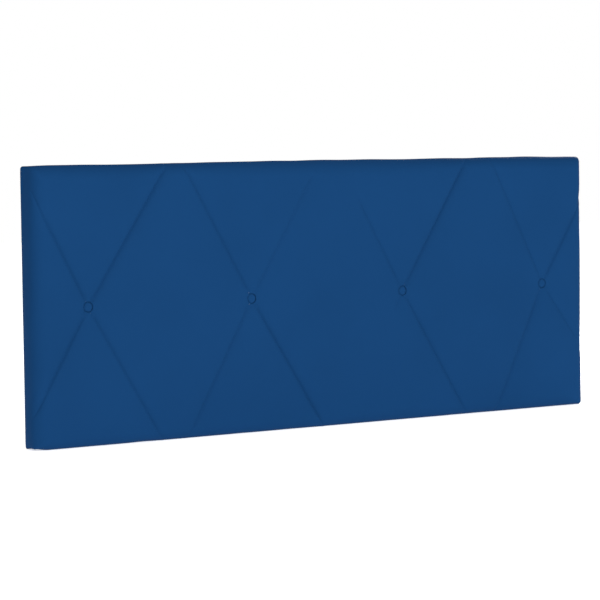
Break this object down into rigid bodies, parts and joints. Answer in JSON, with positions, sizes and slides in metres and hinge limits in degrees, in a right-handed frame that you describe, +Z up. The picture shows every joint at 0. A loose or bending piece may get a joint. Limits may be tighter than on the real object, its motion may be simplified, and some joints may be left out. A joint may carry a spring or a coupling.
{
  "type": "upholstered headboard",
  "caption": "Wide padded panel in smooth leatherette with a row of covered buttons and diamond creases, hung on the wall behind a bed.",
  "frame": {"origin": "on the lower edge's plane, in the middle of the width and halfway between the padded face's front plane and the wall plane", "axes": "+X along the width, -Y out of the padded face, +Y towards the wall, +Z up"},
  "size_m": [1.45, 0.0728, 0.6],
  "materials": {
    "leatherette": "smooth matte coated cloth",
    "wadding": "lofty white polyester fibre",
    "foam": "open-cell polyurethane foam",
    "plywood": "thin birch plywood",
    "pine": "planed pine",
    "dust_sheet": "black spun-bonded cloth",
    "zinc_steel": "zinc plated",
    "staple_steel": "galvanised wire",
    "button_metal": "pressed sheet",
    "twine": "waxed nylon twine",
    "washer_plastic": "moulded plastic",
    "spacer_plastic": "moulded plastic",
    "rubber": "moulded rubber"
  },
  "bodies": {
    "root": {"cover": "leatherette", "wadding": "wadding", "foam_pad": "foam", "face_board": "plywood", "dust_cover": "dust_sheet", "top_rail": "pine", "bottom_rail": "pine", "left_stile": "pine", "right_stile": "pine", "left_upright": "pine", "centre_upright": "pine", "right_upright": "pine", "top_frame_screws": "zinc_steel", "bottom_frame_screws": "zinc_steel", "left_hanger_screws": "zinc_steel", "right_hanger_screws": "zinc_steel", "left_hanger_plate": "zinc_steel", "right_hanger_plate": "zinc_steel", "left_hanger_spacers": "spacer_plastic", "right_hanger_spacers": "spacer_plastic", "board_staples": "staple_steel", "cover_staples": "staple_steel", "dust_cover_staples": "staple_steel", "button_1_skin": "leatherette", "button_1_shell": "button_metal", "button_1_plate": "button_metal", "button_1_eye": "zinc_steel", "button_1_twine": "twine", "button_1_washer": "washer_plastic", "button_2_skin": "leatherette", "button_2_shell": "button_metal", "button_2_plate": "button_metal", "button_2_eye": "zinc_steel", "button_2_twine": "twine", "button_2_washer": "washer_plastic", "button_3_skin": "leatherette", "button_3_shell": "button_metal", "button_3_plate": "button_metal", "button_3_eye": "zinc_steel", "button_3_twine": "twine", "button_3_washer": "washer_plastic", "button_4_skin": "leatherette", "button_4_shell": "button_metal", "button_4_plate": "button_metal", "button_4_eye": "zinc_steel", "button_4_twine": "twine", "button_4_washer": "washer_plastic", "lower_left_bumper": "rubber", "lower_right_bumper": "rubber", "upper_left_bumper": "rubber", "upper_right_bumper": "rubber"}
  },
  "joints": []
}
